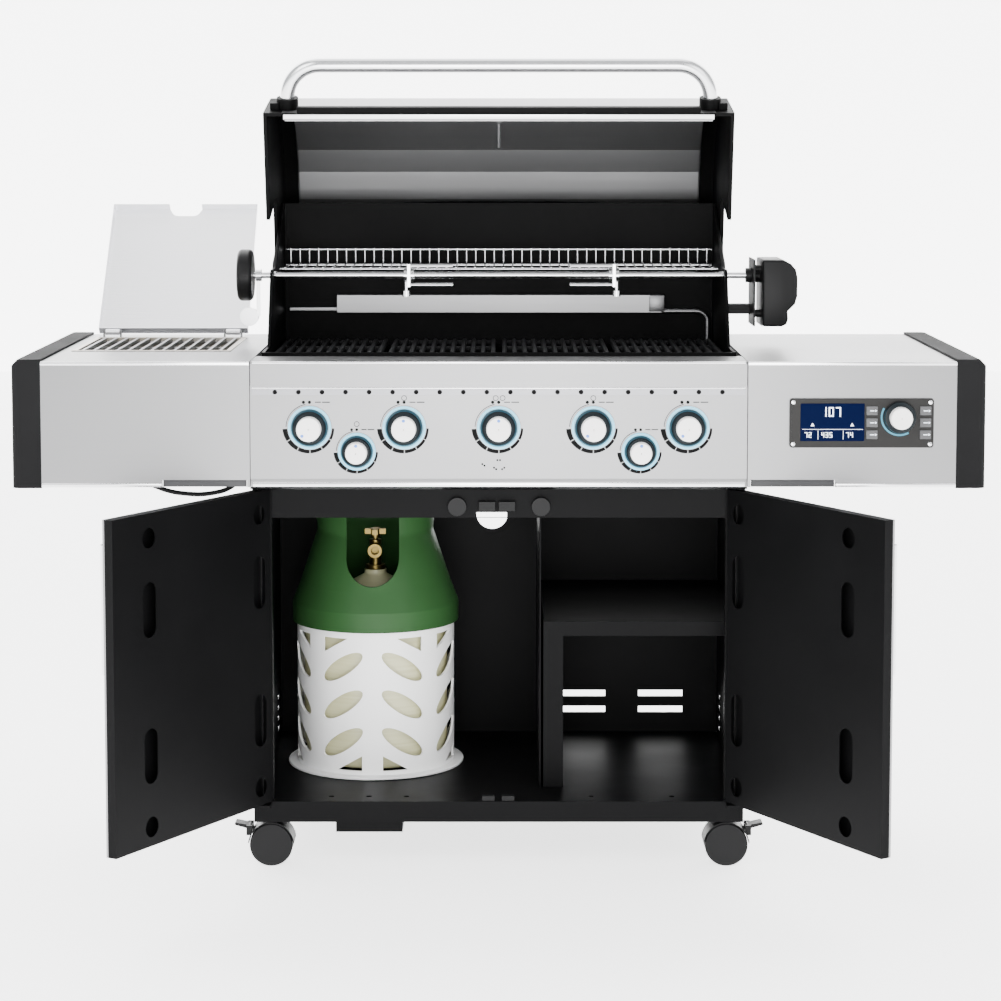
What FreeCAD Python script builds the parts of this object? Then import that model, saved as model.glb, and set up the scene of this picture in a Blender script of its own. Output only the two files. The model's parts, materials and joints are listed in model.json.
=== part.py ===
"""Five-burner gas barbecue grill: cabinet, cooking box, lid, doors, side shelves and their fittings."""
import FreeCAD
import Part
import math
import os
from FreeCAD import Vector

# ---- Driving dimensions, mm. Origin on the floor under the middle; X right, Y to the back, Z up ----
BASE_HALF = 421          # half the width of the base shelf and cabinet
CABINET_FRONT = -243     # front of the posts and of the front rail
BASE_FRONT = -250
CABINET_BACK = 280
BASE_BOTTOM = 79
FLOOR_Z = 115            # top of the base shelf
CABINET_TOP = 656
SHEET = 3

CASTOR_X, CASTOR_FRONT_Y, CASTOR_REAR_Y = 375, -222, 236
WHEEL_R, CASTOR_TRAIL = 37, 18
HOOD_R = 40

DOOR_WIDTH, DOOR_THICK = 419, 20
DOOR_LOW, DOOR_HIGH = 116.5, 658
DOOR_BACK_Y = -254
SKIN_DEPTH = 4           # of the door's stainless face, with its folded edges
DOOR_PIVOT = Vector(-406, -264, 0)
DOOR_OPEN = 121          # degrees that the doors stand open

SHELF_TOP, SHELF_LOW = 883, 673
SHELF_FRONT, SHELF_BACK = -340, 250
SHELF_INNER, SHELF_OUTER, CAP_OUTER = 415, 763, 813
PANEL_HALF = 414

BOX_HALF = 405           # half the outer width of the cooking box
BOX_FRONT, BOX_BACK = -225, 230
BOX_LOW, BOX_WALL = 700, 5
GRID_TOP = 880

LID_PIVOT = Vector(0, 114, 996)
LID_OPEN = 74
LID_HALF = 412.5
LID_PROFILE = [(-228, 893), (-206, 1100, 170), (-70, 1229, 230), (175, 1229, 150), (285, 1100)]
THERMOMETER = Vector(0, -148.7, 1154.4)    # on the flat stretch of the lid's front slope
SLOPE_NORMAL = Vector(0, -0.688, 0.726)
HANDLE_HALF, HANDLE_Y, HANDLE_Z, HANDLE_R = 372, -303, 935, 13

SIDE_LID_PIVOT = Vector(0, 182, 892)
SIDE_LID_OPEN = 134
SIDE_LID_X = (-745, -467)
SIDE_LID_LENGTH = 320

LARGE_KNOBS = [-315, -157.5, 0, 157.5, 315]
SMALL_KNOBS = [-236.5, 236.5]
LARGE_KNOB_Z, SMALL_KNOB_Z = 773, 733
STEM_R, RUNNING_GAP = 4, 0.05
TURNED_KNOBS, KNOB_TURN = (1, 4, 5), 135    # burners that stand lit, and how far their knobs are turned

SPIT_Y, SPIT_Z, SPIT_R = -10, 1009, 6
BOTTLE = Vector(-225, 53, 0)


# ---- Shape helpers ----
def box(x, y, z):
    """A box from the (low, high) pairs on the three axes."""
    return Part.makeBox(x[1] - x[0], y[1] - y[0], z[1] - z[0], Vector(x[0], y[0], z[0]))


def rod(start, end, radius):
    start, end = Vector(*start), Vector(*end)
    return Part.makeCylinder(radius, (end - start).Length, start, end - start)


def tube(start, end, outer, inner):
    return rod(start, end, outer).cut(rod(start, end, inner))


def rounded_edges(corners, closed):
    """Lines through the corners (points with a radius each), joined by tangent arcs."""
    count = len(corners)
    starts, ends, arcs = [], [], []
    for i, (point, radius) in enumerate(corners):
        inner = closed or 0 < i < count - 1
        if not inner or not radius:
            starts.append(point)
            ends.append(point)
            arcs.append(None)
            continue
        back = (corners[i - 1][0] - point).normalize()
        ahead = (corners[(i + 1) % count][0] - point).normalize()
        half = back.getAngle(ahead) / 2
        reach = radius / math.tan(half)
        middle = (back + ahead).normalize() * (radius / math.sin(half) - radius)
        starts.append(point + back * reach)
        ends.append(point + ahead * reach)
        arcs.append(Part.Arc(starts[-1], point + middle, ends[-1]).toShape())
    edges = []
    for i in range(count if closed else count - 1):
        if arcs[i]:
            edges.append(arcs[i])
        following = (i + 1) % count
        if (starts[following] - ends[i]).Length > 1e-6:
            edges.append(Part.makeLine(ends[i], starts[following]))
    return edges


def place(corner, axis, level):
    """A plane corner (u, v) or (u, v, radius) set at a level on the axis, with its radius."""
    u, v = corner[:2]
    radius = corner[2] if len(corner) > 2 else 0
    point = {"x": Vector(level, u, v), "y": Vector(u, level, v), "z": Vector(u, v, level)}[axis]
    return point, radius


def prism(corners, axis, low, high):
    """A closed outline with rounded corners, extruded along an axis."""
    wire = Part.Wire(rounded_edges([place(c, axis, low) for c in corners], True))
    way = {"x": Vector(1, 0, 0), "y": Vector(0, 1, 0), "z": Vector(0, 0, 1)}[axis]
    return Part.Face(wire).extrude(way * (high - low))


def inset(corners, distance):
    """An open line of corners moved sideways to its right, with its radii made smaller to match."""
    points = [Vector(c[0], c[1], 0) for c in corners]
    out = []
    for i, corner in enumerate(corners):
        before = points[i] - points[i - 1] if i else points[1] - points[0]
        after = points[i + 1] - points[i] if i < len(points) - 1 else before
        side_a = Vector(before.y, -before.x, 0).normalize()
        side_b = Vector(after.y, -after.x, 0).normalize()
        shift = (side_a + side_b) * (distance / (1 + side_a.dot(side_b)))
        moved = points[i] + shift
        radius = max(corner[2] - distance, 1) if len(corner) > 2 and corner[2] else 0
        out.append((moved.x, moved.y, radius))
    return out


def bent_sheet(corners, thickness, low, high):
    """A sheet that follows an open line in the Y-Z plane, extruded along X."""
    outline = list(corners) + list(reversed(inset(corners, thickness)))
    return prism(outline, "x", low, high)


def pipe(points, radius):
    """A round bar or hose along points (each with its bend radius)."""
    path = Part.Wire(rounded_edges([(Vector(*p), r) for p, r in points], False))
    start = path.Edges[0].Vertexes[0].Point
    way = (Vector(*points[1][0]) - Vector(*points[0][0])).normalize()
    ring = Part.Wire(Part.makeCircle(radius, start, way))
    return path.makePipeShell([ring], True, False)


def turned_profile(corners, centre=Vector(0, 0, 0)):
    """A closed outline of (radius, height) corners turned about a vertical axis."""
    wire = Part.Wire(rounded_edges([place(c, "y", 0) for c in corners], True))
    solid = Part.Face(wire).revolve(Vector(0, 0, 0), Vector(0, 0, 1), 360)
    solid.translate(centre)
    return solid


def joined(*shapes):
    return shapes[0].multiFuse(list(shapes[1:])).removeSplitter() if len(shapes) > 1 else shapes[0]


def mirrored(shape):
    return shape.mirror(Vector(0, 0, 0), Vector(1, 0, 0))


def swung(shape, pivot, axis, degrees):
    out = shape.copy()
    out.rotate(pivot, axis, degrees)
    return out


def slot(x, z, y, width, height):
    """A cutter for an upright slot with round ends, through a sheet across Y."""
    r = width / 2
    ends = [rod((x, y[0], z + s * (height / 2 - r)), (x, y[1], z + s * (height / 2 - r)), r) for s in (-1, 1)]
    middle = box((x - r, x + r), y, (z - height / 2 + r, z + height / 2 - r))
    return joined(middle, *ends)


def save(name, *shapes):
    solids = [solid for shape in shapes for solid in shape.Solids]
    for solid in solids:
        if not solid.isValid() or solid.Volume < 1:
            print("not valid:", name, solid.isValid(), solid.Volume)
    shape = solids[0] if len(solids) == 1 else Part.makeCompound(solids)
    shape.exportStep("parts/" + name + ".step")


# ---- Castors ----
def castor_centres():
    for side, x in (("left", -1), ("right", 1)):
        for row, y in (("front", CASTOR_FRONT_Y), ("rear", CASTOR_REAR_Y)):
            yield row + "_" + side, x, y


def castor_fork(side, y, braked):
    """The hood, web and stem; the stem turns in the base shelf's socket."""
    x = side * (CASTOR_X + CASTOR_TRAIL)
    stem_x = side * CASTOR_X
    inner = rod((x, y - 30, WHEEL_R), (x, y + 30, WHEEL_R), HOOD_R - 1.5)
    hood = tube((x, y - 25, WHEEL_R), (x, y + 25, WHEEL_R), HOOD_R, HOOD_R - 1.5)
    hood = hood.cut(box((x - 50, x + 50), (y - 40, y + 40), (-10, WHEEL_R + 4)))
    web = box((x - 30, x + 30), (y - 4, y + 4), (22, 70)).common(inner.fuse(hood))
    web = joined(web, box((x - 3, x + 3), (y - 4, y + 4), (60, WHEEL_R + HOOD_R - 1)))
    stem = rod((stem_x, y, 72), (stem_x, y, 104), 5.5)
    boss = rod((stem_x, y, 70), (stem_x, y, 80), 9)
    body = joined(hood, web, joined(stem, boss).cut(inner))
    if braked:
        pin_x, pin_z = brake_pin(side)
        ears = [box((pin_x - 5, pin_x + 5), (y + s * 16 - 2, y + s * 16 + 2), (pin_z - 12, pin_z + 5))
                for s in (-1, 1)]
        pin = rod((pin_x, y - 17, pin_z), (pin_x, y + 17, pin_z), 2.5)
        body = joined(body, *[ear.cut(inner) for ear in ears], pin)
    return body.cut(rod((x, y - 30, WHEEL_R), (x, y + 30, WHEEL_R), 5 + RUNNING_GAP))


def brake_pin(side):
    return side * (CASTOR_X + CASTOR_TRAIL + 38), WHEEL_R + 28


def castor_wheel(side, y):
    x = side * (CASTOR_X + CASTOR_TRAIL)
    discs = []
    for s in (-1, 1):
        near, far = sorted((y + s * 5.5, y + s * 23))
        disc = rod((x, near, WHEEL_R), (x, far, WHEEL_R), WHEEL_R)
        edges = [e for e in disc.Edges if len(e.Vertexes) == 1 or e.Length > 100]
        discs.append(disc.makeFillet(2.5, [e for e in edges if isinstance(e.Curve, Part.Circle)]))
    return joined(rod((x, y - 10, WHEEL_R), (x, y + 10, WHEEL_R), 5), *discs)


def brake_lever(side, y):
    pin_x, pin_z = brake_pin(side)
    barrel = rod((pin_x, y - 13, pin_z), (pin_x, y + 13, pin_z), 4.5)
    pad = prism([(0, -2.5), (26, 5, 2), (25, 9.5, 2), (0, 4)], "y", -13, 13)
    if side < 0:
        pad = mirrored(pad)
    pad.translate(Vector(pin_x, y, pin_z))
    lever = joined(barrel, pad)
    return lever.cut(rod((pin_x, y - 20, pin_z), (pin_x, y + 20, pin_z), 2.5 + RUNNING_GAP))


# ---- Cabinet ----
def base_shelf():
    """A folded pan, open below, with castor sockets, door tabs and a box under its front edge."""
    outer = box((-BASE_HALF, BASE_HALF), (BASE_FRONT, CABINET_BACK), (BASE_BOTTOM, FLOOR_Z))
    hollow = box((-BASE_HALF + SHEET, BASE_HALF - SHEET), (BASE_FRONT + SHEET, CABINET_BACK - SHEET),
                 (BASE_BOTTOM - 1, FLOOR_Z - SHEET))
    pan = outer.cut(hollow)
    sockets, bores = [], []
    for _, side, y in castor_centres():
        sockets.append(rod((side * CASTOR_X, y, 82), (side * CASTOR_X, y, FLOOR_Z - 1), 10))
        bores.append(rod((side * CASTOR_X, y, 80), (side * CASTOR_X, y, 106), 5.5 + RUNNING_GAP))
    tabs = [box((x - 15, x + 15), (-275, BASE_FRONT + 2), (109, 114)) for x in (DOOR_PIVOT.x, -DOOR_PIVOT.x)]
    pins = [rod((x, DOOR_PIVOT.y, 100), (x, DOOR_PIVOT.y, 120), 4 + RUNNING_GAP)
            for x in (DOOR_PIVOT.x, -DOOR_PIVOT.x)]
    floor_holes = [rod((x, -215, 100), (x, -215, 120), 5) for x in (-290, -225, -160, 160, 300)]
    pan = joined(pan, *sockets, *tabs).cut(Part.makeCompound(bores + pins + floor_holes))
    supply_box = box((-281, -166), (-240, -150), (59, FLOOR_Z - SHEET))
    return pan, supply_box


def cabinet_side():
    """The right wall: a sheet with a front post, a bearer for the cooking box and a door tab."""
    wall = box((BASE_HALF - SHEET, BASE_HALF), (CABINET_FRONT, CABINET_BACK), (FLOOR_Z, CABINET_TOP))
    post = box((388, BASE_HALF), (CABINET_FRONT, CABINET_FRONT + 20), (FLOOR_Z, CABINET_TOP))
    upper = box((SHELF_INNER - SHEET, SHELF_INNER), (-200, 225), (CABINET_TOP - SHEET, BOX_LOW))
    shoulder = box((SHELF_INNER - SHEET, BASE_HALF), (-200, 225), (CABINET_TOP - SHEET, CABINET_TOP))
    bearer = box((380, SHELF_INNER), (-200, 225), (BOX_LOW - SHEET, BOX_LOW))
    arm = box((391, BASE_HALF), (CABINET_FRONT, CABINET_FRONT + SHEET), (CABINET_TOP - 1, 665))
    tab = box((391, BASE_HALF), (-275, CABINET_FRONT + SHEET), (661, 665))
    side = joined(wall, post, shoulder, upper, bearer, arm, tab)
    pin = rod((-DOOR_PIVOT.x, DOOR_PIVOT.y, 655), (-DOOR_PIVOT.x, DOOR_PIVOT.y, 670), 4 + RUNNING_GAP)
    vents = [box((BASE_HALF - 10, BASE_HALF + 5), (210, 255), (z, z + 8)) for z in (130, 150, 170, 190)]
    return side.cut(Part.makeCompound([pin] + vents))


def cabinet_back():
    half = BASE_HALF - SHEET
    panel = box((-half, half), (CABINET_BACK - SHEET, CABINET_BACK), (FLOOR_Z, CABINET_TOP))
    cuts = [rod((-13, 270, 538), (-13, 290, 538), 30)]
    for x in (-352, -204, 119, 267):
        for z in (159, 190):
            cuts.append(box((x, x + 85), (270, 290), (z - 6, z + 6)))
    return panel.cut(Part.makeCompound(cuts))


def front_rail():
    rail = joined(box((-388, 388), (CABINET_FRONT, CABINET_FRONT + SHEET), (607, CABINET_TOP)),
                  box((-388, 388), (CABINET_FRONT, CABINET_FRONT + 25), (CABINET_TOP - SHEET, CABINET_TOP)))
    return rail.cut(box((-38, 14), (-250, -230), (607.9, 616.5)))


def door_catches():
    """Magnets on the rail and on the shelf's edge, and two round rubber bumpers."""
    pieces = []
    for x in (-20, 14):
        pieces.append(box((x - 14, x + 14), (CABINET_FRONT - 10, CABINET_FRONT), (620, 636)))
        pieces.append(box((x - 9, x + 13), (BASE_FRONT + 2, BASE_FRONT + 14), (FLOOR_Z, FLOOR_Z + 9)))
    for x in (-71, 72):
        pieces.append(rod((x, CABINET_FRONT, 627), (x, CABINET_FRONT - 10, 627), 16))
    return pieces


def inner_shelf():
    shelf = joined(box((78, 417.5), (-150, 276), (407, 410)),
                   box((78, 417.5), (-150, -147), (384, 410)),
                   box((78, 113), (-150, -147), (FLOOR_Z, 410)),
                   box((78, 81), (-150, 276), (FLOOR_Z, 410)))
    divider = box((71, 74), (-150, 276), (FLOOR_Z, 606))
    return shelf, divider


# ---- Doors (the left one, built closed) ----
def door_skin():
    """The stainless face: a flat sheet whose short folded edges hook over the liner."""
    front = DOOR_BACK_Y - DOOR_THICK
    x, z = (-BASE_HALF, -BASE_HALF + DOOR_WIDTH), (DOOR_LOW, DOOR_HIGH)
    hollow = box((x[0] + 1.5, x[1] - 1.5), (front + 1.5, DOOR_BACK_Y), (z[0] + 1.5, z[1] - 1.5))
    return box(x, (front, front + SKIN_DEPTH), z).cut(hollow)


def door_liner():
    """The black inner tray with its two columns of holes and slots, and the two hinge pins."""
    x, z = (-BASE_HALF, -BASE_HALF + DOOR_WIDTH), (DOOR_LOW, DOOR_HIGH)
    face = DOOR_BACK_Y - 2
    tray = box(x, (DOOR_BACK_Y - DOOR_THICK + SKIN_DEPTH, DOOR_BACK_Y), z)
    tray = tray.cut(box((x[0] + 1.5, x[1] - 1.5), (face - 60, face), (z[0] + 1.5, z[1] - 1.5)))
    through = (face - 5, face + 5)
    cuts = []
    for column in (x[0] + 30.5, x[0] + 327.5):
        for level in (148, 618):
            cuts.append(rod((column, through[0], level), (column, through[1], level), 16.5))
        for level in (264, 502):
            cuts.append(slot(column, level, through, 34, 90))
    pins = [rod((DOOR_PIVOT.x, DOOR_PIVOT.y, low), (DOOR_PIVOT.x, DOOR_PIVOT.y, low + 12), 4)
            for low in (DOOR_LOW - 8, DOOR_HIGH - 3)]
    return joined(tray.cut(Part.makeCompound(cuts)), *pins)


def door_handle():
    x, y = -46, DOOR_BACK_Y - DOOR_THICK
    bar = rod((x, y - 32, 400), (x, y - 32, 610), 7)
    posts = [rod((x, y, z), (x, y - 32, z), 6) for z in (425, 585)]
    return joined(bar, *posts)


# ---- Cooking box and what is in it ----
def cookbox():
    wall_outline = [(BOX_FRONT, BOX_LOW), (BOX_FRONT, 889), (-108, 889, 10), (-40, 1020, 10),
                    (20, 1020, 30), (150, 1093, 60), (205, 1130, 15), (BOX_BACK, 1130), (BOX_BACK, BOX_LOW)]
    notch = joined(box((BOX_HALF - 20, BOX_HALF + 20), (SPIT_Y - 7, SPIT_Y + 7), (SPIT_Z, SPIT_Z + 40)),
                   rod((BOX_HALF - 20, SPIT_Y, SPIT_Z), (BOX_HALF + 20, SPIT_Y, SPIT_Z), 7))
    wall = prism(wall_outline, "x", BOX_HALF - BOX_WALL, BOX_HALF).cut(notch)
    hinge_pin = rod((BOX_HALF - 2, LID_PIVOT.y, LID_PIVOT.z), (LID_HALF - 0.5, LID_PIVOT.y, LID_PIVOT.z), 6)
    ledges = [box((BOX_HALF - 17, BOX_HALF - 4), y, (1002, 1010)) for y in ((50, 70), (188, 206))]
    side = joined(wall, hinge_pin, *ledges)
    half = BOX_HALF - BOX_WALL + 1
    front = box((-half, half), (BOX_FRONT, BOX_FRONT + BOX_WALL), (BOX_LOW, 889))
    holes = [rod((x, BOX_FRONT - 5, 780), (x, BOX_FRONT + 10, 780), 15) for x in LARGE_KNOBS]
    front = front.cut(Part.makeCompound(holes))
    back = box((-half, half), (BOX_BACK - BOX_WALL, BOX_BACK), (BOX_LOW, 1130))
    floor = box((-half, half), (BOX_FRONT, BOX_BACK), (BOX_LOW, BOX_LOW + 4))
    floor = floor.cut(box((-80, 80), (-70, 70), (BOX_LOW - 5, BOX_LOW + 10)))
    front_ledge = box((-half, half), (BOX_FRONT + 2, -206), (861, 866.5))
    back_ledge = box((-half, half), (178, BOX_BACK - 2), (861, 866.5))
    return joined(side, mirrored(side), front, back, floor, front_ledge, back_ledge)


def burner_tubes():
    return [tube((x, -248, 780), (x, 205, 780), 13, 11.5) for x in LARGE_KNOBS]


def heat_shields():
    tent = prism([(-52, 806), (0, 838, 3), (52, 806), (52, 808.5), (0, 841, 3), (-52, 808.5)], "y", -200, 200)
    shields = []
    for x in LARGE_KNOBS:
        shield = tent.copy()
        shield.translate(Vector(x, 0, 0))
        shields.append(shield)
    return shields


def cooking_grids():
    """Four cast grids side by side, each with eleven bars and four cross members."""
    grids, pitch, bars = [], 18, 11
    for x in (-300, -100, 100, 300):
        pieces = [box((x + (i - bars // 2) * pitch - 4, x + (i - bars // 2) * pitch + 4), (-215, 190),
                      (GRID_TOP - 12, GRID_TOP)) for i in range(bars)]
        pieces += [box((x - 94, x + 94), (y, y + 9), (GRID_TOP - 13, GRID_TOP - 3))
                   for y in (-215, -85, 50, 181)]
        grids.append(joined(*pieces))
    return grids


def warming_rack():
    """A welded wire rack with a raised fence along its back."""
    wire, z, low_y, high_y = 1.5, 1016, 60, 200
    pieces = [box((-396, 396), (y - 3, y + 3), (z - 3, z + 3)) for y in (low_y, high_y)]
    pieces.append(box((-396, 396), (high_y - 2, high_y + 2), (z + 27, z + 31)))
    for i in range(46):
        x = (i - 22.5) * 17.2
        pieces.append(box((x - wire, x + wire), (low_y, high_y), (z - 1, z + 2)))
        pieces.append(box((x - wire, x + wire), (high_y - wire, high_y + wire), (z, z + 28)))
    return joined(*pieces)


def rear_burner():
    body = box((-302, 304), (200, 224), (927, 960))
    ledge = box((-391, -302), (212, 224), (930, 936))
    feed = pipe([((304, 212, 929), 0), ((390, 212, 929), 20), ((390, 212, 868), 0)], 5)
    return joined(body, ledge), feed


def grease_tray():
    tray = box((-90, 90), (-110, 215), (666, 694)).cut(box((-87, 87), (-107, 212), (669, 700)))
    return joined(tray, box((-40, 40), (213, 232), (680, 694)))


def tray_runners():
    runner = joined(box((94, 112), (-110, 215), (697, 700)), box((94, 97), (-110, 215), (660, 700)),
                    box((80, 97), (-110, 215), (660, 663)))
    return runner, mirrored(runner)


# ---- Gas train and controls ----
def gas_manifold():
    """The manifold with its seven valves and stems, and the hose tail that the gas comes in by."""
    pieces = [rod((-380, -285, 753), (380, -285, 753), 10), rod((-360, -285, 756), (-360, -285, 705), 5)]
    for x, z in [(x, LARGE_KNOB_Z) for x in LARGE_KNOBS] + [(x, SMALL_KNOB_Z) for x in SMALL_KNOBS]:
        pieces.append(box((x - 13, x + 13), (-302, -266), (z - 16, z + 16)))
        pieces.append(rod((x, -300, z), (x, -364, z), STEM_R))
    return joined(*pieces)


def control_panel():
    profile = [(-232, SHELF_TOP), (-336, SHELF_TOP, 4), (-336, 845), (SHELF_FRONT, 841),
               (SHELF_FRONT, 688), (-336, 682), (-336, SHELF_LOW), (-300, SHELF_LOW)]
    sheet = bent_sheet(list(reversed(profile)), 2, -PANEL_HALF, PANEL_HALF)
    ends = [box((x - 1, x + 1), (-338, -232), (SHELF_LOW, SHELF_TOP - 1)) for x in (-PANEL_HALF + 1, PANEL_HALF - 1)]
    ends = [end.cut(box((-420, 420), (-345, -335.5), (840, 890))) for end in ends]
    spots = [(x, LARGE_KNOB_Z, 37, 30.8) for x in LARGE_KNOBS]
    spots += [(x, SMALL_KNOB_Z, 31, 26.8) for x in SMALL_KNOBS]
    panel = joined(sheet, *ends)
    panel = panel.cut(Part.makeCompound([rod((x, -350, z), (x, -330, z), 8) for x, z, _, _ in spots]))
    rings = [tube((x, SHELF_FRONT, z), (x, SHELF_FRONT - 2, z), outer, inner) for x, z, outer, inner in spots]
    return [panel] + rings


def knob(x, z, skirt, cap):
    """A knob that faces forward: flared skirt, round cap with a pointer, and a blind bore for the stem."""
    back = -343.5
    wall = [(0, 0), (skirt, 0, 1), (skirt - 3, 9, 2), (cap + 3, 11, 1), (cap + 1, 13), (cap, 31, 2), (0, 31)]
    solid = turned_profile(wall)
    solid = joined(solid, box((-1.5, 1.5), (cap - 11, cap - 3), (30, 31.6)))
    solid = solid.cut(rod((0, 0, -1), (0, 0, 24), STEM_R + RUNNING_GAP))
    solid.rotate(Vector(0, 0, 0), Vector(1, 0, 0), 90)
    solid.translate(Vector(x, back, z))
    return solid


def side_lead():
    """The side burner's lead: it hangs in a shallow bow below the shelf and enters the cabinet."""
    route = [(-640, -200, 700), (-612, -200, 664), (-566, -200, 645), (-510, -200, 640), (-462, -200, 650),
             (-440, -170, 676), (-430, -120, 690)]
    points = []
    for i, point in enumerate(route):
        radius = 0
        if 0 < i < len(route) - 1:
            back = Vector(*route[i - 1]) - Vector(*point)
            ahead = Vector(*route[i + 1]) - Vector(*point)
            turn = math.pi - back.getAngle(ahead)
            radius = 0.45 * min(back.Length, ahead.Length) / math.tan(turn / 2)
            print("side lead bend radius", round(radius))
        points.append((point, radius))
    return pipe(points, 4)


# ---- Lid (built closed) ----
def lid_end(side):
    """A cast end: the cheek outside the cooking box, and the band that the lid's skin meets."""
    outline = LID_PROFILE + [(262, 1076), (160, 1040, 20), (146, 970, 24), (82, 970, 24), (76, 1038, 12),
                             (-30, 1038, 10), (-30, 893, 6)]
    cheek = prism(outline, "x", 406, LID_HALF)
    bore = rod((400, LID_PIVOT.y, LID_PIVOT.z), (420, LID_PIVOT.y, LID_PIVOT.z), 6 + RUNNING_GAP)
    band = bent_sheet(LID_PROFILE, 6, 380, 406.5)
    sleeve = tube((HANDLE_HALF, -244.5, HANDLE_Z), (HANDLE_HALF, -221, HANDLE_Z), 19, HANDLE_R)
    web = box((HANDLE_HALF + 15, 402), (-238, -222), (HANDLE_Z - 15, HANDLE_Z + 15))
    web = web.cut(rod((HANDLE_HALF, -260, HANDLE_Z), (HANDLE_HALF, -200, HANDLE_Z), HANDLE_R + 0.1))
    end = joined(cheek, band, sleeve, web).cut(bore)
    return end if side > 0 else mirrored(end)


def lid_shell():
    skin = bent_sheet(LID_PROFILE, 2, -380, 380)
    holes = [rod((s * HANDLE_HALF, -260, HANDLE_Z), (s * HANDLE_HALF, -200, HANDLE_Z), 19.2) for s in (-1, 1)]
    return skin.cut(Part.makeCompound(holes + [probe_bar(3.2)]))


def lid_thermometer():
    """A round dial on the lid's front slope, with its probe inside."""
    dial = Part.makeCylinder(36, 16, THERMOMETER + SLOPE_NORMAL * 0.1, SLOPE_NORMAL)
    return joined(dial, probe_bar(3))


def probe_bar(radius):
    return Part.makeCylinder(radius, 71, THERMOMETER - SLOPE_NORMAL * 70, SLOPE_NORMAL)


def lid_liner():
    profile = inset([(-226, 915), (-206, 1100, 170), (-70, 1229, 230), (30, 1229)], 17)
    return bent_sheet(profile, 1.5, -376, 376).cut(probe_bar(5))


def lid_handle():
    x, corner = HANDLE_HALF, 58
    foot_y = -226    # just clear of the lid's sloping front
    return pipe([((-x, foot_y, HANDLE_Z), 0), ((-x, HANDLE_Y, HANDLE_Z), corner),
                 ((x, HANDLE_Y, HANDLE_Z), corner), ((x, foot_y, HANDLE_Z), 0)], HANDLE_R - 0.02)


# ---- Side shelves ----
def shelf_shell():
    """The right shelf's folded sheet: top, front, back and inner wall, open below and at the end cap."""
    x = (SHELF_INNER, SHELF_OUTER)
    shell = box(x, (SHELF_FRONT, SHELF_BACK), (SHELF_LOW, SHELF_TOP))
    inside = box((x[0] + 2, x[1] + 5), (SHELF_FRONT + 2, SHELF_BACK - 2), (SHELF_LOW - 5, SHELF_TOP - 2))
    shell = shell.cut(inside)
    notch = box((x[0] + 5, 561), (SHELF_FRONT - 5, SHELF_FRONT + 5), (SHELF_LOW - 5, SHELF_LOW + 12))
    return shell.cut(notch)


def shelf_right():
    window = box((504, 704), (SHELF_FRONT - 5, SHELF_FRONT + 5), (746, 816))
    return shelf_shell().cut(window)


def shelf_left():
    """The left shelf has the side burner's opening and the hinge ears of its lid."""
    opening = box((-738, -472), (-128, 153), (SHELF_TOP - 10, SHELF_TOP + 10))
    lead_hole = box((-419, -412), (-210, -110), (SHELF_LOW - 5, SHELF_LOW + 60))
    shelf = mirrored(shelf_shell()).cut(opening).cut(lead_hole)
    pieces = [shelf]
    for x in (-735, -511):
        y, z = SIDE_LID_PIVOT.y, SIDE_LID_PIVOT.z
        ears = [box((x + dx, x + dx + 3), (y - 6, y + 5.5), (SHELF_TOP - 1, z + 4.2)) for dx in (0, 31)]
        pin = rod((x, SIDE_LID_PIVOT.y, SIDE_LID_PIVOT.z), (x + 34, SIDE_LID_PIVOT.y, SIDE_LID_PIVOT.z), 2.5)
        pieces += ears + [pin]
    return joined(*pieces)


def end_cap():
    plan = [(SHELF_OUTER, SHELF_FRONT), (CAP_OUTER, SHELF_FRONT, 14), (CAP_OUTER - 8, SHELF_BACK, 14),
            (SHELF_OUTER, SHELF_BACK)]
    cap = prism(plan, "z", SHELF_LOW - 2, SHELF_TOP + 4)
    bevel = prism([(CAP_OUTER - 14, SHELF_TOP + 6), (CAP_OUTER + 6, SHELF_TOP - 14),
                   (CAP_OUTER + 6, SHELF_TOP + 6)], "y", -400, 300)
    hollow = box((SHELF_OUTER - 5, CAP_OUTER - 14), (SHELF_FRONT + 6, SHELF_BACK - 6),
                 (SHELF_LOW - 5, SHELF_TOP - 3))
    return cap.cut(bevel).cut(hollow)


def side_burner():
    rim = box((-744, -466), (-134, 159), (SHELF_TOP, SHELF_TOP + 1.5))
    bowl = box((-737, -473), (-127, 152), (822, SHELF_TOP + 1.5))
    hollow = box((-735, -475), (-125, 150), (824, SHELF_TOP + 5))
    head = joined(rod((-605, 12, 824), (-605, 12, 846), 24), rod((-605, 12, 846), (-605, 12, 860), 40))
    return joined(rim, bowl).cut(hollow), head


def side_grate():
    bars = [box((x - 2.5, x + 2.5), (-121, 146), (876, 884.5)) for x in range(-726, -480, 20)]
    cross = [box((-733, -477), (y, y + 6), (872, 878)) for y in (-121, 9, 140)]
    feet = [box((x, x + 6), (y, y + 6), (824.4, 873)) for x in (-733, -483) for y in (-121, 140)]
    return joined(*bars, *cross, *feet)


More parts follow.
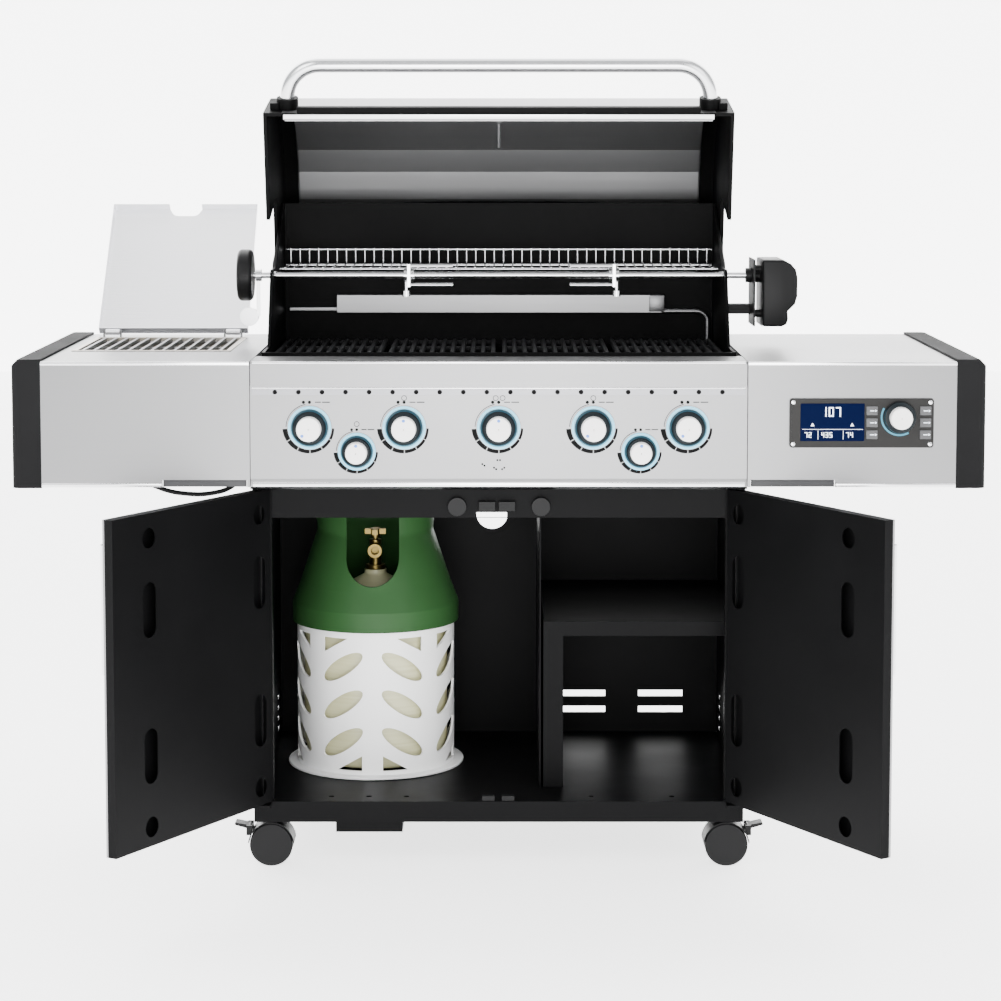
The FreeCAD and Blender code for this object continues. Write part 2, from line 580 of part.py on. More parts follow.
def side_lid():
    """A shallow pan with folded edges, a finger notch and two hinge barrels; built closed."""
    low_x, high_x = SIDE_LID_X
    front = SIDE_LID_PIVOT.y - SIDE_LID_LENGTH
    z = (890, 906)
    pan = box((low_x, high_x), (front, SIDE_LID_PIVOT.y - 8), z)
    inside = box((low_x + 1.5, high_x - 1.5), (front + 1.5, SIDE_LID_PIVOT.y - 9.5), (z[0] - 1, z[1] - 1.5))
    pan = pan.cut(inside)
    middle = (low_x + high_x) / 2
    notch = prism([(middle - 34, front - 5), (middle + 34, front - 5), (middle + 22, front + 18, 14),
                   (middle - 22, front + 18, 14)], "z", z[0] - 5, z[1] + 5)
    pieces = [pan.cut(notch)]
    pin_y, pin_z = SIDE_LID_PIVOT.y, SIDE_LID_PIVOT.z
    for x in (-735, -511):
        barrel = rod((x + 4, pin_y, pin_z), (x + 30, pin_y, pin_z), 5)
        leaf = box((x + 4, x + 30), (pin_y - 16, pin_y), (pin_z + 3, pin_z + 5))
        bore = rod((x, pin_y, pin_z), (x + 40, pin_y, pin_z), 2.5 + RUNNING_GAP)
        pieces.append(joined(barrel, leaf).cut(bore))
    return joined(*pieces)


def controller_housing():
    """The controller: a bezel on the right shelf's front, its case behind, and six keys."""
    front = SHELF_FRONT
    outline = [(484, 740), (724, 740), (724, 822), (484, 822)]
    bezel = prism([(x, z, 5) for x, z in outline], "y", front - 5, front)
    case = box((506, 702), (front - 1, front + 32), (748, 814))
    stem = rod((667, front - 4, 791), (667, front - 28, 791), STEM_R)
    body = joined(bezel, case, stem)
    keys = [box((x - 9, x + 9), (front - 7, front - 5), (z - 7, z + 7))
            for x in (621, 710) for z in (762, 782, 802)]
    return [body] + keys


def controller_knob():
    solid = turned_profile([(0, 0), (27, 0, 1), (26, 8, 2), (20, 10), (18, 24, 2), (0, 24)])
    bore = rod((0, 0, -1), (0, 0, 21), STEM_R + RUNNING_GAP)
    solid = joined(solid, box((-1.2, 1.2), (8, 15), (23, 24.4))).cut(bore)
    solid.rotate(Vector(0, 0, 0), Vector(1, 0, 0), 90)
    solid.translate(Vector(667, SHELF_FRONT - 9, 791))
    return solid


# ---- Rotisserie ----
def rotisserie_motor():
    plate = box((450, 453), (-60, 40), (921, 1039))
    arm = box((BOX_HALF, 451), (12, 34), (938, 956))
    case = prism([(-70, 921, 8), (50, 921, 8), (50, 1039, 12), (-70, 1039, 12)], "x", 465, 527)
    case = case.cut(box((510, 530), (-80, 60), (915, 940)))
    studs = [rod((452, -40, z), (466, -40, z), 7) for z in (943, 1022)]
    socket = rod((440, SPIT_Y, SPIT_Z), (466, SPIT_Y, SPIT_Z), 13)
    motor = joined(plate, arm, case, socket, *studs)
    return motor.cut(rod((430, SPIT_Y, SPIT_Z), (475, SPIT_Y, SPIT_Z), SPIT_R + RUNNING_GAP))


def spit_rod():
    """The spit with the balance weight that hangs below its handle end."""
    axle = rod((-462, SPIT_Y, SPIT_Z), (468, SPIT_Y, SPIT_Z), SPIT_R)
    collar = rod((-433, SPIT_Y, SPIT_Z), (-423, SPIT_Y, SPIT_Z), 11)
    arm = box((-432, -426), (SPIT_Y - 3, SPIT_Y + 3), (936, 1003))
    weight = rod((-445, SPIT_Y - 8, 935), (-445, SPIT_Y + 8, 935), 16.5)
    return joined(axle, collar, arm, weight)


def spit_handle():
    grip = Part.makeCylinder(46, 27, Vector(-464.5, SPIT_Y, SPIT_Z), Vector(1, 0, 0))
    grip = grip.makeFillet(8, [e for e in grip.Edges if isinstance(e.Curve, Part.Circle)])
    return grip.cut(rod((-462, SPIT_Y, SPIT_Z), (-430, SPIT_Y, SPIT_Z), SPIT_R))


def spit_fork(x, way):
    """A four-pronged fork on the spit; its thumb screw hangs below the collar."""
    collar = rod((x - 9, SPIT_Y, SPIT_Z), (x + 9, SPIT_Y, SPIT_Z), 12)
    plate = box((x - 2.5, x + 2.5), (SPIT_Y - 20, SPIT_Y + 20), (SPIT_Z - 20, SPIT_Z + 20))
    prongs = [rod((x, SPIT_Y + dy, SPIT_Z + dz), (x + way * 78, SPIT_Y + dy, SPIT_Z + dz), 2.2)
              for dy in (-17, 17) for dz in (-17, 17)]
    screw = joined(rod((x - way * 5, SPIT_Y, SPIT_Z - 8), (x - way * 5, SPIT_Y, SPIT_Z - 36), 3),
                   rod((x - way * 5, SPIT_Y, SPIT_Z - 28), (x - way * 5, SPIT_Y, SPIT_Z - 38), 7))
    fork = joined(collar, plate, *prongs, screw)
    return fork.cut(rod((x - 20, SPIT_Y, SPIT_Z), (x + 20, SPIT_Y, SPIT_Z), SPIT_R + RUNNING_GAP))


# ---- Gas bottle ----
def bottle_sleeve():
    """The white jacket: a round wall on a flared foot, with three rows of leaf-shaped cut-outs."""
    sleeve = turned_profile([(139, 118), (143, 118), (143, 383), (139, 383)])
    low, high = FLOOR_Z + 0.5, FLOOR_Z + 6
    foot = turned_profile([(120, low), (160, low, 2), (160, high, 2), (120, high)])
    leaf = Part.Face(Part.Wire(Part.Ellipse(Vector(0, 0, 0), 45, 15.7).toShape())).extrude(Vector(0, 0, 60))
    leaf.rotate(Vector(0, 0, 0), Vector(0, 0, 1), -33)
    stencil = []
    for z in (178, 246, 314):
        stencil.append(leaf.copy())
        stencil[-1].translate(Vector(0, z, 0))
    for corners in ([(-11, 366), (37, 366), (37, 339)], [(-37, 155), (-37, 128), (9, 128)]):
        stencil.append(prism(corners, "z", 0, 60))
    stencil = Part.makeCompound(stencil)
    stencil.rotate(Vector(0, 0, 0), Vector(1, 0, 0), 90)
    stencil.translate(Vector(0, -110, 0))
    cuts = []
    for turn in range(0, 360, 90):
        for column in (stencil, mirrored(stencil)):
            cutter = column.copy()
            cutter.rotate(Vector(0, 0, 0), Vector(0, 0, 1), turn + (22.5 if column is stencil else -22.5))
            cuts.append(cutter)
    jacket = joined(sleeve, foot).cut(Part.makeCompound(cuts))
    jacket.translate(BOTTLE)
    return jacket


def bottle_vessel():
    """The pressure vessel with its neck and the valve's body; the valve's outlet faces forward."""
    vessel = turned_profile([(0, 124), (120, 124, 20), (130, 160, 30), (130, 400, 90), (20, 462, 6),
                             (20, 470), (0, 470)], BOTTLE)
    x, y = BOTTLE.x, BOTTLE.y
    valve = joined(rod((x, y, 470), (x, y, 478), 18), rod((x, y, 476), (x, y, 524), 11),
                   rod((x, y, 506), (x, y - 28, 506), 13), rod((x, y, 520), (x, y, 536), 4))
    port = rod((x, y - 29, 506), (x, y - 12, 506), 7)
    return vessel, valve.cut(port)


def bottle_handwheel():
    x, y = BOTTLE.x, BOTTLE.y
    hub = rod((x, y, 528), (x, y, 544), 9)
    grip = [box((x - 19, x + 19), (y - 5, y + 5), (534, 543)), box((x - 5, x + 5), (y - 19, y + 19), (534, 543))]
    return joined(hub, *grip).cut(rod((x, y, 520), (x, y, 538), 4 + RUNNING_GAP))


def bottle_shroud():
    wall = [(147, 378), (151, 378, 2), (151, 413, 8), (137, 449, 30), (105, 545, 30), (118, 660), (113, 660),
            (100, 545, 26), (132, 449, 26), (146, 412, 6)]
    shroud = turned_profile(wall)
    window = joined(box((-47, 47), (-200, 0), (505, 700)), rod((0, -200, 505), (0, 0, 505), 47))
    grips = [box((-45, 45), (0, 200), (590, 630)), box((-200, -20), (-30, 60), (590, 630)),
             box((20, 200), (-30, 60), (590, 630))]
    shroud = shroud.cut(Part.makeCompound([window] + grips))
    shroud.translate(BOTTLE)
    return shroud


def main():
    os.makedirs("parts", exist_ok=True)
    up, along = Vector(0, 0, 1), Vector(1, 0, 0)

    save("base_shelf", *base_shelf())
    side = cabinet_side()
    save("cabinet_sides", side, mirrored(side))
    save("cabinet_back", cabinet_back())
    save("front_rail", front_rail())
    save("door_catches", *door_catches())
    save("inner_shelf", *inner_shelf())
    for place_name, side, y in castor_centres():
        braked = place_name.startswith("front")
        save("castor_fork_" + place_name, castor_fork(side, y, braked))
        save("castor_wheel_" + place_name, castor_wheel(side, y))
        if braked:
            save("brake_lever_" + place_name.split("_")[1], brake_lever(side, y))

    for piece, shape in (("skin", door_skin()), ("liner", door_liner()), ("handle", door_handle())):
        open_left = swung(shape, DOOR_PIVOT, up, -DOOR_OPEN)
        save("door_left_" + piece, open_left)
        save("door_right_" + piece, mirrored(open_left))

    save("cookbox", cookbox(), *tray_runners())
    save("burner_tubes", *burner_tubes())
    save("heat_shields", *heat_shields())
    save("cooking_grids", *cooking_grids())
    save("warming_rack", warming_rack())
    save("rear_burner", *rear_burner())
    save("grease_tray", grease_tray())
    save("gas_manifold", gas_manifold())
    save("control_panel", *control_panel())
    for number, x in enumerate(LARGE_KNOBS, 1):
        turn = KNOB_TURN if number in TURNED_KNOBS else 0
        shape = knob(x, LARGE_KNOB_Z, 30.5, 20)
        save("knob_burner_%d" % number, swung(shape, Vector(x, 0, LARGE_KNOB_Z), Vector(0, -1, 0), turn))
    for name, x in (("side_burner", SMALL_KNOBS[0]), ("rear_burner", SMALL_KNOBS[1])):
        save("knob_" + name, knob(x, SMALL_KNOB_Z, 26.5, 17.5))
    save("side_lead", side_lead())

    open_lid = {"lid_shell": [lid_shell(), lid_thermometer()], "lid_liner": [lid_liner()],
                "lid_handle": [lid_handle()], "lid_castings": [lid_end(-1), lid_end(1)]}
    for name, shapes in open_lid.items():
        save(name, *[swung(shape, LID_PIVOT, along, -LID_OPEN) for shape in shapes])

    save("side_shelf_left", shelf_left())
    save("side_shelf_right", shelf_right())
    cap = end_cap()
    save("end_caps", cap, mirrored(cap))
    save("side_burner", *side_burner())
    save("side_grate", side_grate())
    save("side_burner_lid", swung(side_lid(), SIDE_LID_PIVOT, along, -SIDE_LID_OPEN))
    save("controller_housing", *controller_housing())
    save("controller_knob", controller_knob())

    save("rotisserie_motor", rotisserie_motor())
    save("spit_rod", spit_rod())
    save("spit_handle", spit_handle())
    save("spit_fork_left", spit_fork(-160, 1))
    save("spit_fork_right", spit_fork(205, -1))

    save("bottle_sleeve", bottle_sleeve())
    save("bottle_vessel", *bottle_vessel())
    save("bottle_handwheel", bottle_handwheel())
    save("bottle_shroud", bottle_shroud())


main()
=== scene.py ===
import json
import math
import bmesh
import bpy
from mathutils import Matrix, Vector


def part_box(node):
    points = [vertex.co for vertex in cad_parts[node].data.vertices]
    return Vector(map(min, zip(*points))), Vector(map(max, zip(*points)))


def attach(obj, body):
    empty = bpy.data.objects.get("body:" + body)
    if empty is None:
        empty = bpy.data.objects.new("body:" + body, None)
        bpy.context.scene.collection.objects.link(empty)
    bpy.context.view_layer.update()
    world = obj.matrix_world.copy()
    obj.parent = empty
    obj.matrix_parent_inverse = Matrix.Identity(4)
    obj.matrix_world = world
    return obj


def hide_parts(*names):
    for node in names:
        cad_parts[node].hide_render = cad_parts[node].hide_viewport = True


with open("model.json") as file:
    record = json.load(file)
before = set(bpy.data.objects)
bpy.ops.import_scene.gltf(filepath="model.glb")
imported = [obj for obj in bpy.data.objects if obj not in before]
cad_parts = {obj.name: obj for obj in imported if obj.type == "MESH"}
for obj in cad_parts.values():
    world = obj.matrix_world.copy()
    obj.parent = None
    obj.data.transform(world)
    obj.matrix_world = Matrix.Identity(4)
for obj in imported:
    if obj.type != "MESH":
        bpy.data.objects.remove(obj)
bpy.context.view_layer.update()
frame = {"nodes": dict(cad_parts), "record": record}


# ---- Studio ----
# A pale floor that runs back, a bright even surround and soft panels of light. The camera stands
# 4.7 m in front of the grill at lid height and looks slightly down.
def studio():
    bpy.ops.object.select_all(action="DESELECT")
    bpy.ops.mesh.primitive_plane_add(size=60, location=(0, -20, 0))
    floor = bpy.context.object
    floor.name = "studio_floor"
    floor.data.materials.append(bpy.data.materials.new("floor_white"))
    surface = floor.data.materials[0]
    surface.use_nodes = True
    surface.node_tree.nodes["Principled BSDF"].inputs["Base Color"].default_value = (0.95, 0.95, 0.95, 1)
    surface.node_tree.nodes["Principled BSDF"].inputs["Roughness"].default_value = 0.7
    surface.node_tree.nodes["Principled BSDF"].inputs["Emission Color"].default_value = (1, 1, 1, 1)
    surface.node_tree.nodes["Principled BSDF"].inputs["Emission Strength"].default_value = 2.4

    bpy.ops.mesh.primitive_plane_add(size=40, location=(0, 9, 6), rotation=(math.radians(90), 0, 0))
    backdrop = bpy.context.object
    backdrop.name = "studio_backdrop"
    backdrop.data.materials.append(bpy.data.materials.new("backdrop_white"))
    glow_sheet = backdrop.data.materials[0]
    glow_sheet.use_nodes = True
    glow_sheet.node_tree.nodes["Principled BSDF"].inputs["Emission Color"].default_value = (1, 1, 1, 1)
    glow_sheet.node_tree.nodes["Principled BSDF"].inputs["Emission Strength"].default_value = 4.6

    world = bpy.data.worlds.new("studio_surround")
    bpy.context.scene.world = world
    world.use_nodes = True
    world.node_tree.nodes["Background"].inputs["Color"].default_value = (0.97, 0.98, 1, 1)
    world.node_tree.nodes["Background"].inputs["Strength"].default_value = 1.0

    for name, place, aim, size, power in (
            ("key", (-2.4, -3.2, 3.2), (0, 0, 0.7), 2.2, 95),
            ("fill", (2.8, -3.4, 2.4), (0, 0, 0.6), 2.4, 62),
            ("cabinet_fill", (0.1, -3.6, 0.7), (0, 0.2, 0.4), 1.4, 36),
            ("lid_fill", (0, -2.3, 0.95), (0, 0.0, 1.3), 1.2, 14),
            ("top", (0, 0.4, 3.6), (0, 0, 0.9), 2.6, 45)):
        light = bpy.data.lights.new(name + "_light", "AREA")
        light.size = size
        light.energy = power
        lamp = bpy.data.objects.new(name + "_light", light)
        lamp.location = place
        lamp.rotation_euler = (Vector(aim) - Vector(place)).to_track_quat("-Z", "Y").to_euler()
        bpy.context.scene.collection.objects.link(lamp)

    camera = bpy.data.cameras.new("front_camera")
    camera.lens = 94.7
    camera.sensor_width = 36
    camera.shift_y = -0.143
    stand = bpy.data.objects.new("front_camera", camera)
    stand.location = (0.003, -4.7, 1.272)
    stand.rotation_euler = (math.radians(85), 0, 0)
    bpy.context.scene.collection.objects.link(stand)
    bpy.context.scene.camera = stand


studio()


# ---- Base shelf, cabinet walls, back, rail and inner shelf ----
# Folded steel sheet with a satin black powder coat, spot-welded into a cart. Edges are rolled a little
# where the sheet is folded.
class Socket:
    """An output in a finish's node tree; sums and products on it add Math nodes."""

    def __init__(self, finish, link):
        self.finish, self.link = finish, link

    def maths(self, operation, *terms):
        return self.finish.node("ShaderNodeMath", {"operation": operation}, dict(enumerate(terms)))

    def __add__(self, other):
        return self.maths("ADD", self, other)

    def __mul__(self, other):
        return self.maths("MULTIPLY", self, other)

    __radd__ = __add__
    __rmul__ = __mul__


class Finish:
    """A procedural material, built up by adding nodes that read the piece's own coordinates."""

    def __init__(self, name, color, roughness, metallic=0.0, **constants):
        self.material = bpy.data.materials.new(name)
        self.material.use_nodes = True
        self.tree = self.material.node_tree
        self.surface = self.tree.nodes["Principled BSDF"]
        self.set(Base_Color=(*color, 1), Roughness=roughness, Metallic=metallic, **constants)
        self.place = self.node("ShaderNodeTexCoord", {}, {}, "Object")

    def set(self, **values):
        for name, value in values.items():
            socket = self.surface.inputs[name.replace("_", " ")]
            if isinstance(value, Socket):
                self.tree.links.new(value.link, socket)
            else:
                socket.default_value = value

    def node(self, kind, settings, values, output=0):
        made = self.tree.nodes.new(kind)
        for name, value in settings.items():
            if name == "stops":
                for position, shade in value:
                    stop = made.color_ramp.elements.new(position)
                    stop.color = (*shade, 1)
                made.color_ramp.elements.remove(made.color_ramp.elements[0])
                made.color_ramp.elements.remove(made.color_ramp.elements[-1])
            else:
                setattr(made, name, value)
        for key, value in values.items():
            if isinstance(value, Socket):
                self.tree.links.new(value.link, made.inputs[key])
            else:
                made.inputs[key].default_value = value
        return Socket(self, made.outputs[output])

    def noise(self, scale, detail=3, stretch=None):
        at = self.place
        if stretch:
            at = self.node("ShaderNodeMapping", {}, {"Vector": at, "Scale": stretch})
        return self.node("ShaderNodeTexNoise", {}, {"Vector": at, "Scale": scale, "Detail": detail})

    def mix(self, factor, low, high):
        return self.node("ShaderNodeMix", {"data_type": "RGBA"},
                         {"Factor": factor, 6: (*low, 1), 7: (*high, 1)}, 2)

    def bump(self, height, strength, distance=0.001):
        self.set(Normal=self.node("ShaderNodeBump", {}, {"Height": height, "Strength": strength,
                                                         "Distance": distance}))


def powder_coat(name, color, roughness):
    """Sprayed and baked powder: a fine orange-peel skin with slightly uneven gloss."""
    finish = Finish(name, color, roughness, Specular_IOR_Level=0.05)
    cloud = finish.noise(7)
    peel = finish.noise(900, 2)
    lighter = tuple(c * 1.5 for c in color)
    finish.set(Base_Color=finish.mix(cloud, color, lighter), Roughness=cloud * 0.16 + (roughness - 0.08))
    finish.bump(peel, 0.12, 0.0004)
    return finish.material


bodies = frame["record"]["behaviour"]["bodies"]
body_of_node = {node: body for body, nodes in bodies.items() for node in nodes}


def finished(node, material, edge=0.0006, smooth=35, keep=None, ending="finished"):
    """The node's own shape with welded facets, softened edges and smooth curves, in its material.

    keep(face) picks the faces that this piece takes, where a node is shared by two pieces.
    """
    source = frame["nodes"][node]
    piece = bpy.data.objects.new("%s_%s" % (node, ending), source.data.copy())
    bpy.context.scene.collection.objects.link(piece)
    mesh = bmesh.new()
    mesh.from_mesh(piece.data)
    bmesh.ops.remove_doubles(mesh, verts=mesh.verts, dist=0.00002)
    if keep:
        others = [face for face in mesh.faces if not keep(face)]
        bmesh.ops.delete(mesh, geom=others, context="FACES")
    bmesh.ops.dissolve_limit(mesh, angle_limit=math.radians(0.4), verts=mesh.verts, edges=mesh.edges)
    mesh.to_mesh(piece.data)
    mesh.free()
    bpy.ops.object.select_all(action="DESELECT")
    piece.select_set(True)
    bpy.context.view_layer.objects.active = piece
    if edge:
        soften = piece.modifiers.new("edge", "BEVEL")
        soften.width = edge
        soften.segments = 2
        soften.limit_method = "ANGLE"
        soften.angle_limit = math.radians(50)
        bpy.ops.object.modifier_apply(modifier="edge")
    bpy.ops.object.shade_smooth_by_angle(angle=math.radians(smooth))
    if edge:
        flatten = piece.modifiers.new("flatten", "WEIGHTED_NORMAL")
        flatten.keep_sharp = True
        flatten.weight = 100
        bpy.ops.object.modifier_apply(modifier="flatten")
    piece.data.materials.clear()
    piece.data.materials.append(material)
    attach(piece, body_of_node[node])
    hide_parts(node)
    return piece


satin_black = powder_coat("satin_black_powder", (0.003, 0.003, 0.0032), 0.42)
for node in ("base_shelf", "cabinet_sides", "cabinet_back", "front_rail", "inner_shelf"):
    finished(node, satin_black)


# ---- Hose, catches and bumpers ----
# Moulded black rubber and plastic: the lead of the side burner, the two round door bumpers and the
# magnet holders with their ribbed grey magnets.
def moulded(name, color, roughness, grain=1400, shine=0.14):
    """Moulded plastic or rubber with the fine spark-eroded grain of its tool."""
    finish = Finish(name, color, roughness, Specular_IOR_Level=shine)
    texture = finish.noise(grain, 2)
    handling = finish.noise(14)
    finish.set(Base_Color=finish.mix(handling, color, tuple(c * 1.2 + 0.001 for c in color)),
               Roughness=handling * 0.14 + (roughness - 0.07))
    finish.bump(texture, 0.18, 0.0003)
    return finish.material


black_rubber = moulded("black_rubber", (0.006, 0.006, 0.0063), 0.55)
black_plastic = moulded("black_plastic", (0.005, 0.005, 0.0052), 0.4)
finished("side_lead", black_rubber, edge=0)
finished("door_catches", black_plastic)


def settle(name, body, material, smooth=35):
    """The active object becomes a finished piece: its place goes into its mesh and it rides."""
    piece = bpy.context.object
    piece.name = name
    bpy.ops.object.transform_apply(location=True, rotation=True, scale=True)
    bpy.ops.object.shade_smooth_by_angle(angle=math.radians(smooth))
    piece.data.materials.clear()
    piece.data.materials.append(material)
    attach(piece, body)
    return piece


def modify(kind, **settings):
    """Adds a modifier to the active object and applies it."""
    piece = bpy.context.object
    modifier = piece.modifiers.new("shape", kind)
    for name, value in settings.items():
        setattr(modifier, name, value)
    bpy.ops.object.modifier_apply(modifier="shape")


def block(low, high, edge=0.001, segments=2):
    """A rectangular piece between two corners with its edges rounded over."""
    bpy.ops.object.select_all(action="DESELECT")
    middle = [(a + b) / 2 for a, b in zip(low, high)]
    bpy.ops.mesh.primitive_cube_add(size=1, location=middle, scale=[b - a for a, b in zip(low, high)])
    bpy.ops.object.transform_apply(location=True, rotation=True, scale=True)
    modify("BEVEL", width=edge, segments=segments)


def merge(pieces):
    bpy.ops.object.select_all(action="DESELECT")
    for piece in pieces:
        piece.select_set(True)
    bpy.context.view_layer.objects.active = pieces[0]
    bpy.ops.object.join()
    return bpy.context.object


catch_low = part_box("door_catches")[0]
magnet_grey = moulded("magnet_grey", (0.16, 0.16, 0.17), 0.5)
ribs = []
for holder_x in (-0.020, 0.014):
    for rib in range(5):
        left = holder_x - 0.010 + rib * 0.0042
        block((left, catch_low.y + 0.0088, 0.6235), (left + 0.0026, catch_low.y + 0.0092, 0.6325), 0.0001, 1)
        ribs.append(bpy.context.object)
merge(ribs)
settle("magnet_ribs", "grill", magnet_grey)


# ---- Cooking box, burners, shields and rear burner ----
# The box is cast aluminium with a rough satin black coat, darkened in patches by smoke. The tubes and
# tents are stainless steel, tinted straw in patches where they run hot; the rear burner is plain stainless.
def cast_coat(name, color, roughness):
    """Sand-cast metal under heat-proof paint: coarse grain, broad shade changes."""
    finish = Finish(name, color, roughness, Specular_IOR_Level=0.05)
    grain = finish.noise(420, 6)
    soot = finish.noise(5, 5)
    finish.set(Base_Color=finish.mix(soot, tuple(c * 0.55 for c in color), tuple(c * 1.5 for c in color)),
               Roughness=soot * 0.3 + (roughness - 0.15))
    finish.bump(grain, 0.35, 0.0008)
    return finish.material


def brushed_steel(name, color, roughness, along=(2.5, 900, 900), tint=None):
    """Belt-brushed stainless sheet: fine scratches in one direction over a cloudy sheen."""
    finish = Finish(name, color, roughness, 1.0)
    scratches = finish.noise(1, 4, along)
    cloud = finish.noise(3.2, 2)
    darker = tuple(c * 0.88 for c in color)
    shade = finish.mix(scratches * 0.7 + cloud * 0.3, darker, color)
    if tint:
        heat = finish.noise(9, 2)
        shade = finish.node("ShaderNodeMix", {"data_type": "RGBA"},
                            {"Factor": heat * 0.8, 6: shade, 7: (*tint, 1)}, 2)
    finish.set(Base_Color=shade, Roughness=scratches * 0.12 + cloud * 0.08 + (roughness - 0.1))
    finish.bump(scratches, 0.06, 0.0003)
    return finish.material


cast_black = cast_coat("cast_black", (0.0022, 0.0022, 0.0023), 0.48)
sheet_steel = brushed_steel("brushed_sheet", (0.255, 0.255, 0.258), 0.36)
hot_steel = brushed_steel("heat_tinted_steel", (0.5, 0.5, 0.5), 0.38, tint=(0.42, 0.34, 0.22))
finished("cookbox", cast_black)
for node in ("burner_tubes", "heat_shields"):
    finished(node, hot_steel, edge=0)
rear_steel = brushed_steel("rear_burner_steel", (0.24, 0.24, 0.243), 0.34)
finished("rear_burner", rear_steel)
burner_low, burner_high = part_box("rear_burner")
end_high = burner_high.x - 0.086
block((end_high - 0.029, burner_low.y - 0.002, 0.929), (end_high, burner_low.y + 0.012, 0.9595), 0.002)
settle("rear_burner_end", "grill", sheet_steel)


# ---- Cooking grids ----
# Cast iron, seasoned to a dull black; each bar has a narrow crowned top that the food rests on.
# Eleven bars on four cross members make one grid, and four grids fill the box.
def grids():
    low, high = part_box("cooking_grids")
    iron = cast_coat("seasoned_iron", (0.022, 0.022, 0.023), 0.42)
    pitch, width, bars = 0.018, 0.008, 11
    crown = 0.003
    pieces = []
    for middle in (-0.3, -0.1, 0.1, 0.3):
        first = middle - pitch * (bars // 2)
        block((first - width / 2, low.y + 0.0002, high.z - 0.012),
              (first + width / 2, high.y - 0.0002, high.z), crown, 3)
        modify("ARRAY", count=bars, use_relative_offset=False, use_constant_offset=True,
               constant_offset_displace=(pitch, 0, 0))
        pieces.append(bpy.context.object)
        for y in (low.y, low.y + 0.13, low.y + 0.265, high.y - 0.009):
            block((middle - 0.094, y, low.z), (middle + 0.094, y + 0.009, high.z - 0.0035), 0.002)
            pieces.append(bpy.context.object)
    merge(pieces)
    piece = settle("cooking_grids_cast", "cooking_grids", iron)
    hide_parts("cooking_grids")


grids()


# ---- Warming rack ----
# Chromed steel wire, resistance-welded where the wires cross: two heavy rails, a fence along the
# back, and cross wires that bend up into the fence.
def chrome_plate(name, roughness):
    finish = Finish(name, (0.84, 0.85, 0.86), roughness, 1.0)
    haze = finish.noise(30, 3)
    finish.set(Base_Color=finish.mix(haze, (0.78, 0.78, 0.79), (0.86, 0.87, 0.88)),
               Roughness=haze * 0.12 + (roughness - 0.04))
    return finish.material


chrome = chrome_plate("chrome_plate", 0.14)


def wire(points, radius, sides=8):
    """A round wire along straight runs with softly bent corners."""
    curve = bpy.data.curves.new("wire", "CURVE")
    curve.dimensions = "3D"
    curve.bevel_depth = radius
    curve.bevel_resolution = sides // 4
    curve.use_fill_caps = True
    run = curve.splines.new("POLY")
    run.points.add(len(points) - 1)
    for point, place in zip(run.points, points):
        point.co = (*place, 1)
    holder = bpy.data.objects.new("wire", curve)
    bpy.context.scene.collection.objects.link(holder)
    bpy.ops.object.select_all(action="DESELECT")
    holder.select_set(True)
    bpy.context.view_layer.objects.active = holder
    bpy.ops.object.convert(target="MESH")
    return bpy.context.object


def rack():
    low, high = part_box("warming_rack")
    rail = low.z + 0.003
    wires = []
    for y in (low.y + 0.003, high.y - 0.003):
        wires.append(wire([(low.x, y, rail), (high.x, y, rail)], 0.003, 12))
    fence_y, fence_z = high.y - 0.003, high.z - 0.002
    wires.append(wire([(low.x, fence_y, fence_z), (high.x, fence_y, fence_z)], 0.002))
    count, pitch = 46, 0.0172
    back = high.y - 0.0045
    first = -(count - 1) / 2 * pitch
    bend = wire([(first, low.y + 0.0015, rail + 0.002), (first, back - 0.006, rail + 0.002),
                 (first, back - 0.0015, rail + 0.0035), (first, back, rail + 0.008),
                 (first, back, high.z)], 0.0014)
    modify("ARRAY", count=count, use_relative_offset=False, use_constant_offset=True,
           constant_offset_displace=(pitch, 0, 0))
    wires.append(bend)
    merge(wires)
    piece = settle("warming_rack_wire", "warming_rack", chrome, 60)
    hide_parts("warming_rack")


rack()


# ---- Lid ----
# Two cast ends painted black hold a rolled stainless skin. A stainless liner, folded in flat bands,
# lies behind its front and a black panel behind its back. A black trim strip closes the front edge,
# and the chromed tube handle is screwed to the ends.
lid_hinge = Vector((0, 0.114, 0.996))
opened_lid = (Matrix.Translation(lid_hinge) @ Matrix.Rotation(math.radians(-74), 4, "X")
              @ Matrix.Translation(-lid_hinge))


def lid_piece(name, material, smooth=35):
    """The active object was modelled with the lid shut; it is swung open and rides on the lid."""
    bpy.context.object.data.transform(opened_lid)
    return settle(name, "lid", material, smooth)


finished("lid_castings", cast_black, edge=0.0012)
closed_lid = opened_lid.inverted()


def hem(face):
    """The folded edge that closes the lid's front, painted black with the trim."""
    return (closed_lid.to_3x3() @ face.normal).z < -0.5 and (closed_lid @ face.calc_center_median()).z < 0.93


finished("lid_shell", sheet_steel, edge=0, keep=lambda face: not hem(face))
finished("lid_shell", cast_black, edge=0, keep=hem, ending="hem")
liner_steel = brushed_steel("liner_steel", (0.46, 0.46, 0.465), 0.42, along=(2.5, 300, 300))
handle_steel = chrome_plate("handle_satin", 0.2)
finished("lid_handle", handle_steel, edge=0)

block((-0.353, -0.2375, 0.8922), (0.353, -0.2255, 0.906), 0.0012)
lid_piece("lid_front_trim", cast_black)
# A thin steel lip inside the lid's front edge is coloured near white: a painted highlight along the edge.
lip_highlight_paint = brushed_steel("lip_painted_highlight_steel", (0.9, 0.9, 0.9), 0.3)
block((-0.377, -0.2252, 0.8925), (0.377, -0.2160, 0.8955), 0.0006)
lid_piece("lid_lip_highlight", lip_highlight_paint)


